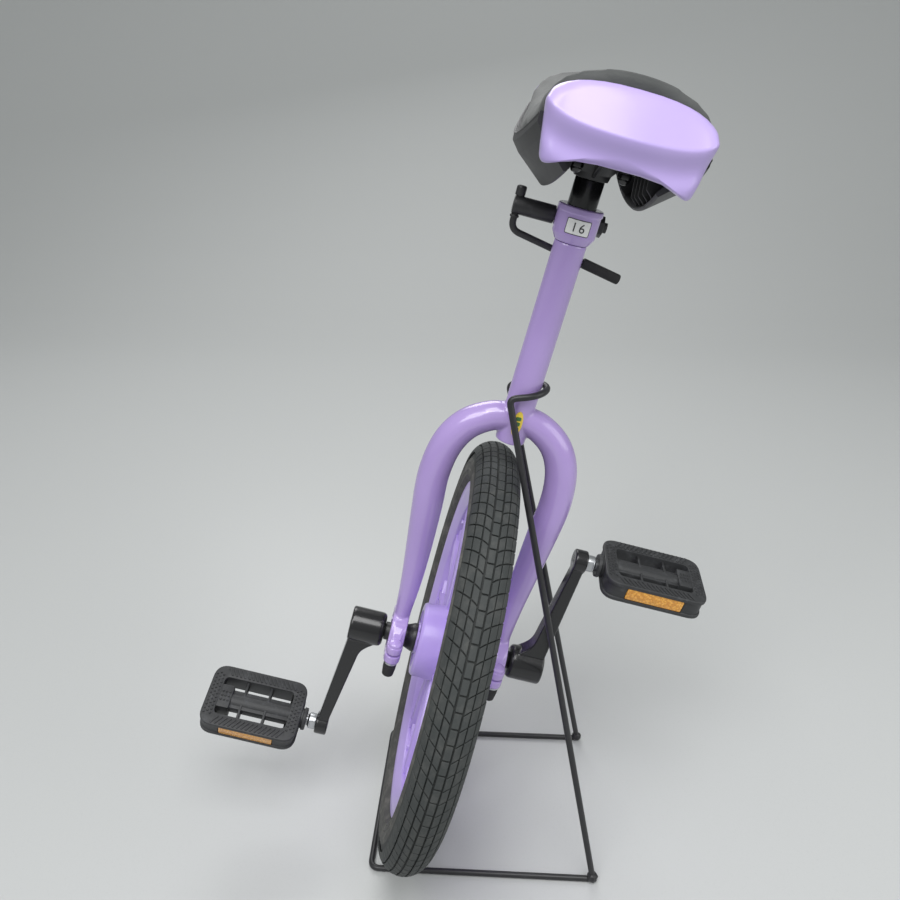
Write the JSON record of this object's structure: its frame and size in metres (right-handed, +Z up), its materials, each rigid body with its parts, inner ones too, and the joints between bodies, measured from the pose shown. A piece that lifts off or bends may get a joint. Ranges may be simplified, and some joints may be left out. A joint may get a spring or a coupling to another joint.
{
  "type": "unicycle",
  "caption": "Small-wheel unicycle with moulded wheel, curved saddle, screw seat clamp and pedals, leaning in a bent-wire stand.",
  "frame": {"origin": "floor level, under the middle of the whole object's box, with the unicycle leaning in its stand", "axes": "+Z up, +X along the wheel's axle to the rider's right, which is the side it leans to, +Y fore and aft"},
  "size_m": [0.4746, 0.4, 0.6979],
  "materials": {
    "lavender_paint": "gloss enamel on steel tube",
    "lavender_plastic": "moulded plastic, satin gloss",
    "black_enamel": "gloss black enamel",
    "black_satin": "satin black powder coat",
    "black_plastic": "grained black plastic",
    "black_rubber": "matte black rubber",
    "tyre_rubber": "dusty dark grey tyre rubber",
    "saddle_cover": "matte black grained vinyl",
    "bare_steel": "ground steel",
    "amber": "amber prismatic reflector",
    "label_white": "white printed label",
    "badge_yellow": "yellow printed sticker"
  },
  "bodies": {
    "stand": {"stand_base_wire": "black_satin", "stand_upright_wire": "black_satin", "stand_weld_front": "black_satin", "stand_weld_back": "black_satin"},
    "frame": {"seat_tube": "lavender_paint", "seat_collar": "lavender_paint", "size_label": "label_white", "crown_badge": "badge_yellow", "clamp_nut": "black_satin", "fork_leg_left": "lavender_paint", "bearing_seat_left": "lavender_paint", "bearing_cap_left": "lavender_paint", "bearing_left": "bare_steel", "fork_leg_right": "lavender_paint", "bearing_seat_right": "lavender_paint", "bearing_cap_right": "lavender_paint", "bearing_right": "bare_steel", "cap_bolt_left_front": "lavender_paint", "bolt_tip_left_front": "black_rubber", "cap_bolt_left_back": "lavender_paint", "bolt_tip_left_back": "black_rubber", "cap_bolt_right_front": "lavender_paint", "bolt_tip_right_front": "black_rubber", "cap_bolt_right_back": "lavender_paint", "bolt_tip_right_back": "black_rubber"},
    "clamp_screw": {"clamp_bolt": "black_satin", "clamp_bar": "black_satin", "bar_grip": "black_rubber"},
    "post": {"seat_post": "black_enamel"},
    "saddle": {"saddle_bracket": "black_satin", "saddle_base": "black_plastic", "saddle_pad": "saddle_cover", "bumper_front": "lavender_plastic", "bumper_back": "lavender_plastic", "saddle_nut_left_front": "black_satin", "saddle_nut_left_back": "black_satin", "saddle_nut_right_front": "black_satin", "saddle_nut_right_back": "black_satin"},
    "wheel_set": {"tyre": "tyre_rubber", "inner_tube": "black_rubber", "wheel": "lavender_plastic", "valve_stem": "black_rubber", "axle": "black_satin", "axle_spacer_left": "black_satin", "crank_left": "black_enamel", "crank_cap_left": "black_plastic", "pedal_spindle_left": "bare_steel", "axle_spacer_right": "black_satin", "crank_right": "black_enamel", "crank_cap_right": "black_plastic", "pedal_spindle_right": "bare_steel"},
    "left_pedal": {"pedal_left": "black_plastic", "pedal_cap_left": "black_plastic", "reflector_left_front": "amber", "reflector_left_back": "amber"},
    "right_pedal": {"pedal_right": "black_plastic", "pedal_cap_right": "black_plastic", "reflector_right_front": "amber", "reflector_right_back": "amber"}
  },
  "joints": [
    {"name": "frame_tilt", "type": "hinge", "parent": "stand", "child": "frame", "pos_m": [-0.04351, 0, 0.021], "axis": [0, 1, 0], "range_deg": [-4, 0]},
    {"name": "wheel_spin", "type": "hinge", "parent": "frame", "child": "wheel_set", "pos_m": [0.0004, 0, 0.19453], "axis": [0.9694, 0, -0.2453], "range_deg": [-12, 26]},
    {"name": "left_pedal_spin", "type": "hinge", "parent": "wheel_set", "child": "left_pedal", "pos_m": [-0.02778, -0.01614, 0.08317], "axis": [0.9694, 0, -0.2453], "continuous": true},
    {"name": "right_pedal_spin", "type": "hinge", "parent": "wheel_set", "child": "right_pedal", "pos_m": [0.02858, 0.01614, 0.30589], "axis": [0.9694, 0, -0.2453], "continuous": true},
    {"name": "post_slide", "type": "slide", "parent": "frame", "child": "post", "axis": [0.2453, 0, 0.9694], "range_m": [-0.004, 0.1]},
    {"name": "saddle_swivel", "type": "hinge", "parent": "post", "child": "saddle", "pos_m": [0.10785, 0, 0.61915], "axis": [0.2453, 0, 0.9694], "continuous": true},
    {"name": "clamp_turn", "type": "hinge", "parent": "frame", "child": "clamp_screw", "pos_m": [0.09963, 0.021, 0.58667], "axis": [0.9694, 0, -0.2453], "range_deg": [0, 120]}
  ]
}
